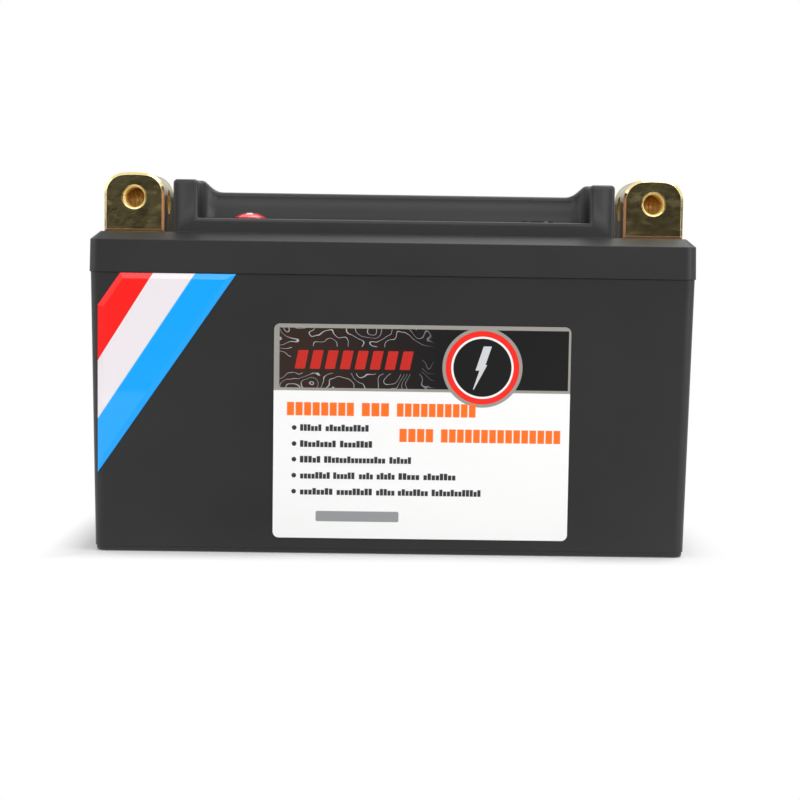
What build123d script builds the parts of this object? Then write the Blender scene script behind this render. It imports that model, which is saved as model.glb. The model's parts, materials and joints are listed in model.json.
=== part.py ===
from build123d import *
import os
from math import atan, degrees, pi, radians, tan

# Sealed lithium motorcycle battery in the small standard case, about 150 x 65 x 93 mm.
# Millimetres. The origin is the middle of the underside, +X points to the negative terminal,
# +Y to the back and +Z up, so the label faces -Y. The case grows outwards from the cell pack
# that it holds: eight cells in four groups, a moulded holder at each end of them, welded
# copper links, foam, and a protection board at the negative end.

# ---------------------------------------------------------------- cells
CELL_DIAMETER = 26.0
CELL_LENGTH = 65.2
CELL_RIM = 1.0            # rounding of the can's ends
CELL_GROOVE = 0.6         # depth of the bead rolled below the positive end
CELL_GROOVE_DROP = 4.5    # from the positive end to the bead
CELL_NUB_DIAMETER = 12.0
CELL_NUB_HEIGHT = 0.8
CELL_COLUMNS = 4          # groups in series, along X
CELL_ROWS = 2             # cells in parallel in a group, along Y
CELL_GAP = 1.0            # between neighbouring cans
CELL_FIT = 0.1            # around a can in its socket

# ---------------------------------------------------------------- holders, links and sheets
HOLDER_WALL = 1.1
HOLDER_HEIGHT = 9.0
HOLDER_LIP = 1.2          # web that stays over the rim of each can
HOLDER_WINDOW = 17.0      # diameter of the opening over each can
HOLDER_CORE = 8.0         # diameter of the hole between four cans
LINK_THICKNESS = 0.5
LINK_MARGIN = 9.0         # from the outer cell centres to the edge of a link
LINK_CORNER = 4.0
WELD_DIAMETER = 8.0       # dimple pressed through the window on to the can
TAB_WIDTH = 8.0
TAB_REACH = 0.5           # from the holder's end to a folded tab
TAB_DROP = 14.0
SENSE_TAB_WIDTH = 4.0
SENSE_TAB_Y = 20.0
SHEET_THICKNESS = 0.5
SHEET_MARGIN = 2.5        # the upper sheet stops short of the holder's edge
BASE_PAD_THICKNESS = 2.0
PAD_CLEARANCE = 0.4       # around the floor pad

# ---------------------------------------------------------------- case
WALL = 2.4
FLOOR = 2.9
DRAFT = 1.0               # degrees
SIDE_ROOM = 0.85          # from the holder to the side wall at the floor
END_ROOM = 16.35          # from the holder to the end wall at the floor
CASE_CORNER = 2.6
INNER_CORNER = 1.5
FOOT_HEIGHT = 1.4
FOOT_INSET = 0.25
FOOT_ROUNDING = 0.8
RIB_WIDTH = 2.5
RIB_SPACING = 70.0
RIB_CLEARANCE = 0.15
RIB_TOP_GAP = 8.0         # from the top of a rib to the case's rim

# ---------------------------------------------------------------- lid
TOP_ROOM = 2.5            # from the upper sheet to the flat of the lid
LID_WALL = 2.4
LID_HEIGHT = 10.0         # from the seam to the flat of the lid
LID_OVERHANG = 0.35
LIP_CLEARANCE = 0.15
LIP_THICKNESS = 1.2
LIP_DEPTH = 3.0
CHAMFER_HEIGHT = 2.0
CHAMFER_WIDTH = 2.5
CHAMFER_ROUNDING = 0.4
BLOCK_GAP = 2.3           # from a terminal's inner side to the block's end
BLOCK_INSET = 0.3         # from the flat's edge to the block's front and back
BLOCK_EDGE = 1.0          # rounding of the block's edges
TOWER_HEIGHT = 13.0
PLATEAU_HEIGHT = 10.2
RAMP_LENGTH = 3.0
RAMP_ROUNDING = 0.9
RAMP_FOOT_ROUNDING = 5.0
TOWER_DEPTH = 12.0        # from the block's front to the towers' back slope
LEDGE_HEIGHT = 3.6
TOWER_WALL = 6.15         # from the block's end to the recess over the ledge
TOWER_SETBACK = 0.5       # from the recess's end wall to where the ramp starts down
LEDGE_DEPTH = 9.5
LEDGE_CORNER = 4.0

# ---------------------------------------------------------------- terminals
TERMINAL_WIDTH = 14.8
TERMINAL_DEPTH = 20.0
TERMINAL_HEIGHT = 14.6
TERMINAL_SHOULDER = 5.0
TERMINAL_CROWN = 26.0     # radius of the gently arched top
TERMINAL_BEVEL = 0.6
TERMINAL_END_GAP = 3.4    # from the lid's end to the terminal's outer face
TERMINAL_FRONT_GAP = 1.5  # from the flat's front edge to the terminal's front face
TAPPED_RADIUS = 3.0
TAPPED_DEPTH = 9.0
TAPPED_HEIGHT = 8.5
CROSS_TAPPED_HEIGHT = 7.6
DRILL_ANGLE = 31.0        # degrees, slope of the cone at a hole's end
SHANK_DIAMETER = 9.0
SHANK_FLAT = 3.6          # from the shank's axis to its flat
SHANK_FIT = 0.1
SHANK_RELIEF = 0.2        # the shank ends this far above the boss
BOSS_DIAMETER = 14.0
BOSS_HEIGHT = 1.5
GASKET_DIAMETER = 13.0
GASKET_THICKNESS = 0.8
SCREW_DIAMETER = 5.0
SCREW_FIT = 0.05
SCREW_HEAD_DIAMETER = 8.5
SCREW_HEAD_HEIGHT = 5.0
SCREW_SOCKET = 4.0
SCREW_REACH = 7.0         # from the boss into the terminal
SCREW_END_ROOM = 0.5
WASHER_DIAMETER = 10.0
WASHER_THICKNESS = 1.0

# ---------------------------------------------------------------- leads
LUG_RING_DIAMETER = 10.0
LUG_THICKNESS = 1.0
LUG_OFFSET = 10.0         # from the screw to the barrel
LUG_BARREL_WALL = 0.9
LUG_BARREL_LENGTH = 8.0
LEAD_DIAMETER = 5.0
LEAD_FIT = 0.05
LEAD_BEND = 20.0          # largest bend radius
LEAD_STRAIGHT = 5.5       # below the barrel before the first bend
LEAD_SHIFT_HEIGHT = 10.0  # height of the sideways step
LEAD_END = 7.0            # soldered length

# ---------------------------------------------------------------- protection board
TAPE_THICKNESS = 1.0
TAPE_HEIGHT = 4.0
BOARD_THICKNESS = 1.6
BOARD_WIDTH = 46.0
BOARD_EDGE_DROP = 5.0     # from the upper holder's top to the board's top
TRANSISTOR_COUNT = 6
TRANSISTOR_PITCH = 7.4
TRANSISTOR_WIDTH = 6.4
TRANSISTOR_LENGTH = 6.1
TRANSISTOR_HEIGHT = 2.3
TRANSISTOR_OFFSET = -7.3  # heights on the board are measured from its middle
SPREADER_THICKNESS = 1.5
SPREADER_HEIGHT = 9.0
CHIP_SIZE = 6.0
CHIP_HEIGHT = 1.6
CHIP_OFFSET = 10.7
CHIP_Y = -2.5
SHUNT_COUNT = 3
SHUNT_PITCH = 6.0
SHUNT_OFFSET = -19.3
SHUNT_LENGTH = 6.3
SHUNT_WIDTH = 3.2
SHUNT_HEIGHT = 0.9
SOCKET_WALL = 0.8
SOCKET_DEPTH = 4.8
SOCKET_HEIGHT = 7.6
SOCKET_OFFSET = 2.7
SOCKET_Y = 15.0
PIN_PITCH = 2.5
PLUG_HEIGHT = 9.0
PLUG_FIT = 0.1
SENSE_DIAMETER = 1.2
SENSE_FIT = 0.05
SENSE_BEND = 3.0          # bend radius at the corners of the pack
SENSE_RISE = 5.5          # straight run out of the plug
SENSE_END = 5.0           # soldered length
SENSE_STEP = 2.0          # length of the step down from the sheet to a link
SENSE_SIDE_GAP = 3.0      # from the side wall to a lead that runs down to a lower link

# ---------------------------------------------------------------- foam and stickers
END_PAD_WIDTH = 30.0
TOP_PAD_WIDTH = 8.0
TOP_PAD_LENGTH = 60.0
BOARD_PAD_Z = 14.0
PAD_GAP = 2.0             # from an end pad up to the lead or the socket
LABEL_LENGTH = 73.3
LABEL_HEIGHT = 53.3
LABEL_CENTRE_X = 7.5
LABEL_BOTTOM = 4.0
LABEL_CORNER = 1.5
LABEL_THICKNESS = 0.2
STICKER_THICKNESS = 0.6
STICKER_RIM = 0.2         # height of the upright edge, below the sloping rim
STICKER_SLOPE = 1.4       # width of the sloping rim
STICKER_END_INSET = 2.1   # from the case's end to the sticker's upright edge
STICKER_TOP_GAP = 0.15
STICKER_START = 5.5       # top edge, measured from the upright edge
STICKER_END = 34.0
STRIPE_ANGLE = 55.5       # degrees, from the top edge down to the stripes
MARKER_DIAMETER = 7.9
MARKER_X = 35.85
MARKER_BACK = 5.1         # from the ledge's front edge to the marker
MARKER_RIM = 0.3          # height of the round base
PLUS_MARKER_HEIGHT = 1.5
MINUS_MARKER_HEIGHT = 0.75

# ---------------------------------------------------------------- what follows from them
PITCH = CELL_DIAMETER + CELL_GAP
COLUMN_X = [(i - (CELL_COLUMNS - 1) / 2) * PITCH for i in range(CELL_COLUMNS)]
ROW_Y = [(i - (CELL_ROWS - 1) / 2) * PITCH for i in range(CELL_ROWS)]
SOCKET_RADIUS = CELL_DIAMETER / 2 + CELL_FIT
HOLDER_HALF_LENGTH = COLUMN_X[-1] + SOCKET_RADIUS + HOLDER_WALL
HOLDER_HALF_DEPTH = ROW_Y[-1] + SOCKET_RADIUS + HOLDER_WALL

LOWER_SHEET_Z = FLOOR + BASE_PAD_THICKNESS
LOWER_LINK_Z = LOWER_SHEET_Z + SHEET_THICKNESS
HOLDER_Z = LOWER_LINK_Z + LINK_THICKNESS
CELL_Z = HOLDER_Z + HOLDER_LIP
CELL_TOP = CELL_Z + CELL_LENGTH
HOLDER_TOP = CELL_TOP + HOLDER_LIP
UPPER_SHEET_Z = HOLDER_TOP + LINK_THICKNESS
PACK_TOP = UPPER_SHEET_Z + SHEET_THICKNESS

LID_TOP = PACK_TOP + TOP_ROOM + LID_WALL
SEAM_Z = LID_TOP - LID_HEIGHT


def lean(height):
    """How far a drafted wall moves over the given height."""
    return height * tan(radians(DRAFT))


CASE_HALF_LENGTH = HOLDER_HALF_LENGTH + END_ROOM + WALL + lean(SEAM_Z)
CASE_HALF_DEPTH = HOLDER_HALF_DEPTH + SIDE_ROOM + WALL + lean(SEAM_Z)
LID_HALF_LENGTH = CASE_HALF_LENGTH + LID_OVERHANG
LID_HALF_DEPTH = CASE_HALF_DEPTH + LID_OVERHANG
FLAT_HALF_DEPTH = LID_HALF_DEPTH - lean(LID_HEIGHT) - CHAMFER_WIDTH
BLOCK_HALF_DEPTH = FLAT_HALF_DEPTH - BLOCK_INSET
LEDGE_Z = LID_TOP + LEDGE_HEIGHT
LID_UNDERSIDE = LID_TOP - LID_WALL

TERMINAL_X = LID_HALF_LENGTH - TERMINAL_END_GAP - TERMINAL_WIDTH / 2
BLOCK_HALF_LENGTH = TERMINAL_X - TERMINAL_WIDTH / 2 - BLOCK_GAP
LEDGE_HALF_LENGTH = BLOCK_HALF_LENGTH - TOWER_WALL
TERMINAL_FRONT = -FLAT_HALF_DEPTH + TERMINAL_FRONT_GAP
TERMINAL_Y = TERMINAL_FRONT + TERMINAL_DEPTH / 2
BOSS_Z = LID_UNDERSIDE - BOSS_HEIGHT
WASHER_Z = BOSS_Z - WASHER_THICKNESS
LUG_Z = WASHER_Z - LUG_THICKNESS
LEAD_Y = TERMINAL_Y + LUG_OFFSET
LEAD_BEND_TOP = LUG_Z - LUG_BARREL_LENGTH - LEAD_STRAIGHT
LEAD_BEND_LOW = LEAD_BEND_TOP - LEAD_SHIFT_HEIGHT
LEAD_END_Z = LEAD_BEND_LOW - LEAD_END
BARREL_RADIUS = LEAD_DIAMETER / 2 + LEAD_FIT + LUG_BARREL_WALL

TAPE_X = HOLDER_HALF_LENGTH
BOARD_X = TAPE_X + TAPE_THICKNESS
BOARD_FACE_X = BOARD_X + BOARD_THICKNESS
BOARD_TOP = HOLDER_TOP - BOARD_EDGE_DROP
BOARD_BOTTOM = HOLDER_Z + HOLDER_HEIGHT - TAPE_HEIGHT
BOARD_MIDDLE = (BOARD_TOP + BOARD_BOTTOM) / 2
TRANSISTOR_Z = BOARD_MIDDLE + TRANSISTOR_OFFSET
CHIP_Z = BOARD_MIDDLE + CHIP_OFFSET
SHUNT_Z = BOARD_MIDDLE + SHUNT_OFFSET
SOCKET_Z = BOARD_MIDDLE + SOCKET_OFFSET
POSITIVE_TAB_X = HOLDER_HALF_LENGTH + TAB_REACH
NEGATIVE_TAB_X = BOARD_FACE_X + LEAD_FIT
SOCKET_HALF_WIDTH = 2.5 * PIN_PITCH + SOCKET_WALL
PLUG_Z = SOCKET_Z + SOCKET_WALL
PLUG_TOP = PLUG_Z + PLUG_HEIGHT
SENSE_X = BOARD_FACE_X + SOCKET_DEPTH / 2
SENSE_TOP_Z = PACK_TOP + SENSE_DIAMETER / 2 + SENSE_FIT
SENSE_LINK_Z = UPPER_SHEET_Z + SENSE_DIAMETER / 2 + SENSE_FIT


# ---------------------------------------------------------------- shared shapes
def block(x_low, x_high, y_low, y_high, z_low, z_high):
    """Plain block between two corners."""
    centre = Pos((x_low + x_high) / 2, (y_low + y_high) / 2, (z_low + z_high) / 2)
    return centre * Box(x_high - x_low, y_high - y_low, z_high - z_low)


def rod(x, y, z_low, z_high, radius):
    """Upright cylinder."""
    return Pos(x, y, (z_low + z_high) / 2) * Cylinder(radius, z_high - z_low)


def uprights(part):
    """The edges that run more or less upwards."""
    return part.edges().filter_by(lambda edge: abs(edge.tangent_at(0.5).Z) > 0.5)


def drafted_block(half_length, half_depth, z_low, z_high, draft, corner):
    """Block with rounded upright corners, sized at z_low, whose sides lean out by the draft."""
    base = Plane.XY.offset(z_low) * Rectangle(2 * half_length, 2 * half_depth)
    solid = extrude(base, z_high - z_low, taper=-draft)
    return fillet(uprights(solid), corner)


def turned(points):
    """Solid of revolution about Z from a closed outline of radius and height pairs."""
    outline = make_face(Polyline(*points, close=True))
    return revolve(Plane.XZ * outline, Axis.Z)


def lead(points, diameter, largest):
    """Round lead: straight runs joined by arcs as large as the runs and the room allow."""
    corners = [Vector(*point) for point in points]
    radii = []
    for before, corner, after in zip(corners, corners[1:], corners[2:]):
        turn = (corner - before).get_angle(after - corner)
        shorter = min((corner - before).length, (after - corner).length)
        radii.append(min(largest, 0.45 * shorter / tan(radians(turn / 2))))
    path = FilletPolyline(*corners, radius=radii)
    section = Plane(path @ 0, z_dir=path % 0) * Circle(diameter / 2)
    tube = sweep(section, path)
    print("lead radii", [round(radius, 1) for radius in radii],
          "volume ratio", round(tube.volume / (pi * diameter ** 2 / 4 * path.length), 3))
    return tube


# ---------------------------------------------------------------- case
def case_outside(growth=0.0):
    """The case's drafted outside, or the surface a growth outside it."""
    return drafted_block(CASE_HALF_LENGTH - lean(SEAM_Z) + growth,
                         CASE_HALF_DEPTH - lean(SEAM_Z) + growth,
                         0, SEAM_Z, DRAFT, CASE_CORNER + growth)


def make_case():
    """Open moulded box with an inset foot and four ribs that locate the cell holders."""
    bottom_length = CASE_HALF_LENGTH - lean(SEAM_Z - FOOT_HEIGHT)
    bottom_depth = CASE_HALF_DEPTH - lean(SEAM_Z - FOOT_HEIGHT)
    foot_corner = CASE_CORNER - FOOT_INSET
    foot = drafted_block(bottom_length - FOOT_INSET, bottom_depth - FOOT_INSET,
                         0, FOOT_HEIGHT, 0, foot_corner)
    rounding = min(FOOT_ROUNDING, 0.9 * foot_corner, 0.9 * FOOT_HEIGHT)
    foot = fillet(foot.faces().sort_by(Axis.Z)[0].edges(), rounding)
    walls = drafted_block(bottom_length, bottom_depth, FOOT_HEIGHT, SEAM_Z, DRAFT, CASE_CORNER)
    cavity = drafted_block(inner_half_length(FLOOR), inner_half_depth(FLOOR),
                           FLOOR, SEAM_Z, DRAFT, INNER_CORNER)
    case = foot + walls - cavity
    rib_face = HOLDER_HALF_DEPTH + RIB_CLEARANCE
    rib_root = CASE_HALF_DEPTH - lean(SEAM_Z) - WALL / 2
    for side in (-1, 1):
        for x in (-RIB_SPACING / 2, RIB_SPACING / 2):
            y_low, y_high = sorted((side * rib_face, side * rib_root))
            upper = block(x - RIB_WIDTH / 2, x + RIB_WIDTH / 2, y_low, y_high,
                          FLOOR / 2, SEAM_Z - RIB_TOP_GAP)
            case += upper
    return case


def inner_half_length(z):
    """Half length of the case's cavity at a height."""
    return CASE_HALF_LENGTH - WALL - lean(SEAM_Z - z)


def inner_half_depth(z):
    """Half depth of the case's cavity at a height."""
    return CASE_HALF_DEPTH - WALL - lean(SEAM_Z - z)


# ---------------------------------------------------------------- lid
def lid_rim():
    """Skirt and flat top, with the chamfer all round."""
    rim = drafted_block(LID_HALF_LENGTH, LID_HALF_DEPTH, SEAM_Z, LID_TOP, -DRAFT,
                        CHAMFER_WIDTH + 2 * CHAMFER_ROUNDING)
    top = rim.faces().sort_by(Axis.Z)[-1]
    rim = chamfer(top.edges(), CHAMFER_WIDTH, CHAMFER_HEIGHT, reference=top)
    top_edges = rim.faces().sort_by(Axis.Z)[-1].edges()
    return fillet(top_edges, CHAMFER_ROUNDING)


def rounded(profile, corners):
    """Profile with its corners rounded, each given as a place and a radius."""
    for x, z, radius in corners:
        near = profile.vertices().filter_by(
            lambda corner: abs(abs(corner.X) - abs(x)) + abs(corner.Y - z) < 0.01)
        profile = fillet(near, radius)
    return profile


def raised_block():
    """Block between the terminals: a tower at each end, a plateau, and the ledge in front."""
    tower_inner = LEDGE_HALF_LENGTH - TOWER_SETBACK
    ramp_foot = tower_inner - RAMP_LENGTH
    right = [(ramp_foot, PLATEAU_HEIGHT), (tower_inner, TOWER_HEIGHT),
             (BLOCK_HALF_LENGTH, TOWER_HEIGHT), (BLOCK_HALF_LENGTH, -LID_WALL / 2)]
    left = [(-x, z) for x, z in reversed(right)]
    along = rounded(make_face(Polyline(*right, *left, close=True)),
                    ((tower_inner, TOWER_HEIGHT, RAMP_ROUNDING),
                     (ramp_foot, PLATEAU_HEIGHT, RAMP_FOOT_ROUNDING)))
    front, beyond = -BLOCK_HALF_DEPTH, BLOCK_HALF_DEPTH + 1
    tower_back = front + TOWER_DEPTH
    slope_foot = tower_back + RAMP_LENGTH
    behind_towers = rounded(make_face(Polyline(
        (tower_back, TOWER_HEIGHT), (slope_foot, PLATEAU_HEIGHT), (beyond, PLATEAU_HEIGHT),
        (beyond, TOWER_HEIGHT + 1), (tower_back, TOWER_HEIGHT + 1), close=True)),
        ((slope_foot, PLATEAU_HEIGHT, RAMP_FOOT_ROUNDING),))
    solid = extrude(Plane.XZ * along, BLOCK_HALF_DEPTH, both=True)
    solid -= extrude(Plane.YZ * behind_towers, BLOCK_HALF_LENGTH + 1, both=True)
    recess_depth = LEDGE_DEPTH + LEDGE_CORNER
    recess = Pos(0, front + LEDGE_DEPTH - recess_depth / 2) * RectangleRounded(
        2 * LEDGE_HALF_LENGTH, recess_depth, LEDGE_CORNER)
    recess += Pos(0, front) * Rectangle(2 * LEDGE_HALF_LENGTH, 2 * LEDGE_CORNER)
    solid -= extrude(Plane.XY.offset(LEDGE_HEIGHT) * recess, TOWER_HEIGHT)
    return Pos(0, 0, LID_TOP) * fillet(block_edges(solid), BLOCK_EDGE)


def block_edges(solid):
    """The block's outer edges and the recess's rim, but not its foot."""
    def outer(edge):
        place = edge.center()
        beside = min(abs(abs(place.X) - BLOCK_HALF_LENGTH), abs(abs(place.Y) - BLOCK_HALF_DEPTH))
        return place.Z > -LID_WALL / 4 and beside < 0.01

    def rim(edge):
        place = edge.center()
        return (place.Z > (LEDGE_HEIGHT + PLATEAU_HEIGHT) / 2 + 1
                and abs(place.X) < LEDGE_HALF_LENGTH + 0.01
                and -BLOCK_HALF_DEPTH + 0.01 < place.Y < -BLOCK_HALF_DEPTH + LEDGE_DEPTH + 0.01)

    return solid.edges().filter_by(lambda edge: outer(edge) or rim(edge))


def make_lid():
    """Moulded cover: hollow underneath, a locating lip, and a boss for each terminal shank."""
    lid = lid_rim() + raised_block()
    lip_length = CASE_HALF_LENGTH - WALL - LIP_CLEARANCE
    lip_depth = CASE_HALF_DEPTH - WALL - LIP_CLEARANCE
    lid += drafted_block(lip_length - lean(LIP_DEPTH), lip_depth - lean(LIP_DEPTH),
                         SEAM_Z - LIP_DEPTH, SEAM_Z, DRAFT, INNER_CORNER)
    lid -= drafted_block(lip_length - LIP_THICKNESS, lip_depth - LIP_THICKNESS,
                         SEAM_Z - LIP_DEPTH, LID_UNDERSIDE, 0, INNER_CORNER)
    hollow_length = BLOCK_HALF_LENGTH - LID_WALL
    hollow_depth = BLOCK_HALF_DEPTH - LID_WALL
    back_wall = -BLOCK_HALF_DEPTH + LEDGE_DEPTH + LID_WALL
    lid -= block(-hollow_length, hollow_length, -hollow_depth, hollow_depth,
                 LID_UNDERSIDE, LEDGE_Z - LID_WALL)
    lid -= block(-hollow_length, hollow_length, back_wall, hollow_depth,
                 LID_UNDERSIDE, LID_TOP + PLATEAU_HEIGHT - LID_WALL)
    for side in (-1, 1):
        lid += rod(side * TERMINAL_X, TERMINAL_Y, BOSS_Z, LID_UNDERSIDE, BOSS_DIAMETER / 2)
        lid -= Pos(side * TERMINAL_X, TERMINAL_Y) * shank(BOSS_Z, LID_TOP, SHANK_FIT)
        lid -= rod(side * TERMINAL_X, TERMINAL_Y, LID_TOP - GASKET_THICKNESS, LID_TOP,
                   GASKET_DIAMETER / 2)
    return lid


# ---------------------------------------------------------------- terminals
def shank(z_low, z_high, growth=0.0):
    """Round shank with one flat towards the front, which stops it turning."""
    radius = SHANK_DIAMETER / 2 + growth
    flat = SHANK_FLAT + growth
    cut = block(-radius, radius, -radius - 1, -flat, z_low, z_high)
    return rod(0, 0, z_low, z_high, radius) - cut


def blind_hole(depth):
    """Tapped hole along -Z from the origin, with a drill's cone at its end."""
    return turned([(0, 0), (TAPPED_RADIUS, 0), (TAPPED_RADIUS, -depth),
                   (0, -depth - TAPPED_RADIUS * tan(radians(DRILL_ANGLE)))])


def through_hole(length):
    """Tapped hole through a length along Z, centred on the origin."""
    return rod(0, 0, -length / 2, length / 2, TAPPED_RADIUS)


def make_terminal(side):
    """Plated brass block with an arched top, tapped in front and crosswise."""
    outline = Rectangle(TERMINAL_WIDTH, TERMINAL_HEIGHT, align=(Align.CENTER, Align.MIN))
    outline &= Pos(0, TERMINAL_HEIGHT - TERMINAL_CROWN) * Circle(TERMINAL_CROWN)
    shoulders = outline.vertices().filter_by(lambda corner: corner.Y > TERMINAL_HEIGHT / 2)
    outline = fillet(shoulders, TERMINAL_SHOULDER)
    body = extrude(Plane.XZ * outline, TERMINAL_DEPTH / 2, both=True)
    ends = body.faces().sort_by(Axis.Y)
    body = chamfer(ends[0].edges() + ends[-1].edges(), TERMINAL_BEVEL)
    body += shank(BOSS_Z + SHANK_RELIEF - LID_TOP, TERMINAL_BEVEL)
    screw_top = BOSS_Z + SCREW_REACH + SCREW_END_ROOM - LID_TOP
    body -= rod(0, 0, BOSS_Z - LID_TOP, screw_top, SCREW_DIAMETER / 2 + SCREW_FIT)
    front = Plane((0, -TERMINAL_DEPTH / 2, TAPPED_HEIGHT), z_dir=(0, -1, 0))
    across = Plane((0, 0, CROSS_TAPPED_HEIGHT), z_dir=(1, 0, 0))
    body -= front * blind_hole(TAPPED_DEPTH)
    body -= across * through_hole(TERMINAL_WIDTH)
    return Pos(side * TERMINAL_X, TERMINAL_Y, LID_TOP) * body


def make_gasket(side):
    """Flat ring that seals the shank, hidden in a recess under the terminal."""
    z_low = LID_TOP - GASKET_THICKNESS
    ring = rod(0, 0, z_low, LID_TOP, GASKET_DIAMETER / 2)
    ring -= shank(z_low, LID_TOP, SHANK_FIT)
    return Pos(side * TERMINAL_X, TERMINAL_Y) * ring


def both_ends(piece):
    """The same piece under each terminal."""
    return [Pos(side * TERMINAL_X, TERMINAL_Y) * piece for side in (-1, 1)]


def make_screw():
    """Cap screw that clamps the washer and the lug up against the boss."""
    head_low = LUG_Z - SCREW_HEAD_HEIGHT
    screw = rod(0, 0, head_low, LUG_Z, SCREW_HEAD_DIAMETER / 2)
    screw += rod(0, 0, LUG_Z, BOSS_Z + SCREW_REACH, SCREW_DIAMETER / 2)
    recess = Plane.XY.offset(head_low) * RegularPolygon(SCREW_SOCKET / 2, 6, major_radius=False)
    return screw - extrude(recess, SCREW_HEAD_HEIGHT / 2)


def make_washer():
    """Plain washer between the lug and the boss."""
    ring = rod(0, 0, WASHER_Z, BOSS_Z, WASHER_DIAMETER / 2)
    return ring - rod(0, 0, WASHER_Z, BOSS_Z, SCREW_DIAMETER / 2 + 3 * SCREW_FIT)


def make_lug(side):
    """Ring lug with its barrel turned down for the lead."""
    tongue = Plane.XY.offset(LUG_Z) * (
        Circle(LUG_RING_DIAMETER / 2) + Pos(0, LUG_OFFSET) * Circle(BARREL_RADIUS)
        + Pos(0, LUG_OFFSET / 2) * Rectangle(1.6 * BARREL_RADIUS, LUG_OFFSET))
    lug = extrude(tongue, LUG_THICKNESS)
    lug += rod(0, LUG_OFFSET, LUG_Z - LUG_BARREL_LENGTH, LUG_Z, BARREL_RADIUS)
    lug -= rod(0, LUG_OFFSET, LUG_Z - LUG_BARREL_LENGTH, LUG_Z, LEAD_DIAMETER / 2 + LEAD_FIT)
    lug -= rod(0, 0, LUG_Z, WASHER_Z, SCREW_DIAMETER / 2 + 3 * SCREW_FIT)
    return Pos(side * TERMINAL_X, TERMINAL_Y) * lug


def make_main_lead(side, face_x):
    """Lead from the lug's barrel down to the face of a tab or of the board."""
    end_x = face_x + LEAD_DIAMETER / 2 + LEAD_FIT
    route = [(side * TERMINAL_X, LEAD_Y, LUG_Z), (side * TERMINAL_X, LEAD_Y, LEAD_BEND_TOP),
             (side * end_x, LEAD_Y, LEAD_BEND_LOW), (side * end_x, LEAD_Y, LEAD_END_Z)]
    return lead(route, LEAD_DIAMETER, LEAD_BEND)


# ---------------------------------------------------------------- cell pack
def make_cell(column, row):
    """Can with a rolled bead and a raised positive cap; every other group stands upside down."""
    radius = CELL_DIAMETER / 2
    top = CELL_LENGTH - CELL_NUB_HEIGHT
    bead = top - CELL_GROOVE_DROP
    nub = CELL_NUB_DIAMETER / 2
    cell = turned([(0, 0), (radius - CELL_RIM, 0), (radius, CELL_RIM),
                   (radius, bead - CELL_GROOVE), (radius - CELL_GROOVE, bead),
                   (radius, bead + CELL_GROOVE), (radius, top - CELL_RIM),
                   (radius - CELL_RIM, top), (nub, top), (nub, CELL_LENGTH), (0, CELL_LENGTH)])
    if column % 2 == 1:
        cell = Pos(0, 0, CELL_LENGTH) * Rot(180, 0, 0) * cell
    return Pos(COLUMN_X[column], ROW_Y[row], CELL_Z) * cell


def holder():
    """Spacer for the cells' ends, lying on its web with the sockets open upwards."""
    corner = SOCKET_RADIUS + HOLDER_WALL
    outline = RectangleRounded(2 * HOLDER_HALF_LENGTH, 2 * HOLDER_HALF_DEPTH, corner - 0.01)
    centres = [Pos(x, y) for x in COLUMN_X for y in ROW_Y]
    cores = [Pos((x0 + x1) / 2, 0) for x0, x1 in zip(COLUMN_X, COLUMN_X[1:])]
    web = outline - centres * Circle(HOLDER_WINDOW / 2) - cores * Circle(HOLDER_CORE / 2)
    walls = outline - centres * Circle(SOCKET_RADIUS) - cores * Circle(HOLDER_CORE / 2)
    return extrude(web, HOLDER_LIP) + extrude(walls, HOLDER_HEIGHT)


def link(first, last, dimple_side):
    """Copper strip over the groups first to last, dimpled through the windows to the cells."""
    x_low, x_high = COLUMN_X[first] - LINK_MARGIN, COLUMN_X[last] + LINK_MARGIN
    outline = Pos((x_low + x_high) / 2, 0) * RectangleRounded(
        x_high - x_low, ROW_Y[-1] - ROW_Y[0] + 2 * LINK_MARGIN, LINK_CORNER)
    strip = extrude(outline, LINK_THICKNESS)
    reach = HOLDER_LIP + LINK_THICKNESS
    z_low = 0 if dimple_side > 0 else -HOLDER_LIP
    for x in COLUMN_X[first:last + 1]:
        for y in ROW_Y:
            strip += rod(x, y, z_low, z_low + reach, WELD_DIAMETER / 2)
    return strip


def make_upper_link(first, last):
    """A link on top of the cells."""
    return Pos(0, 0, HOLDER_TOP) * link(first, last, -1)


def make_pole_link(side, tab_x, tab_y):
    """The link of an end group, with a tab folded down over the pack's end."""
    column = 0 if side < 0 else CELL_COLUMNS - 1
    strip = make_upper_link(column, column)
    edge = COLUMN_X[-1] + LINK_MARGIN - LINK_CORNER
    outer = tab_x + LINK_THICKNESS
    tab = block(edge, outer, tab_y - TAB_WIDTH / 2, tab_y + TAB_WIDTH / 2,
                HOLDER_TOP, UPPER_SHEET_Z)
    tab += block(tab_x, outer, tab_y - TAB_WIDTH / 2, tab_y + TAB_WIDTH / 2,
                 UPPER_SHEET_Z - TAB_DROP, UPPER_SHEET_Z)
    return strip + (tab if side > 0 else mirror(tab, about=Plane.YZ))


def make_lower_link(side):
    """A link under the cells, with a sense tab that sticks out past the holder."""
    first = 0 if side < 0 else CELL_COLUMNS - 2
    strip = Pos(0, 0, LOWER_LINK_Z) * link(first, first + 1, 1)
    edge = COLUMN_X[-1] + LINK_MARGIN
    tab = block(edge - LINK_CORNER, SENSE_X + SENSE_DIAMETER,
                SENSE_TAB_Y - SENSE_TAB_WIDTH / 2, SENSE_TAB_Y + SENSE_TAB_WIDTH / 2,
                LOWER_LINK_Z, HOLDER_Z)
    return strip + (tab if side > 0 else mirror(tab, about=Plane.YZ))


def floor_sheet(z_low, thickness):
    """Flat layer that covers the case's floor."""
    return block(-inner_half_length(FLOOR) + PAD_CLEARANCE, inner_half_length(FLOOR) - PAD_CLEARANCE,
                 -HOLDER_HALF_DEPTH, HOLDER_HALF_DEPTH, z_low, z_low + thickness)


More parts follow.
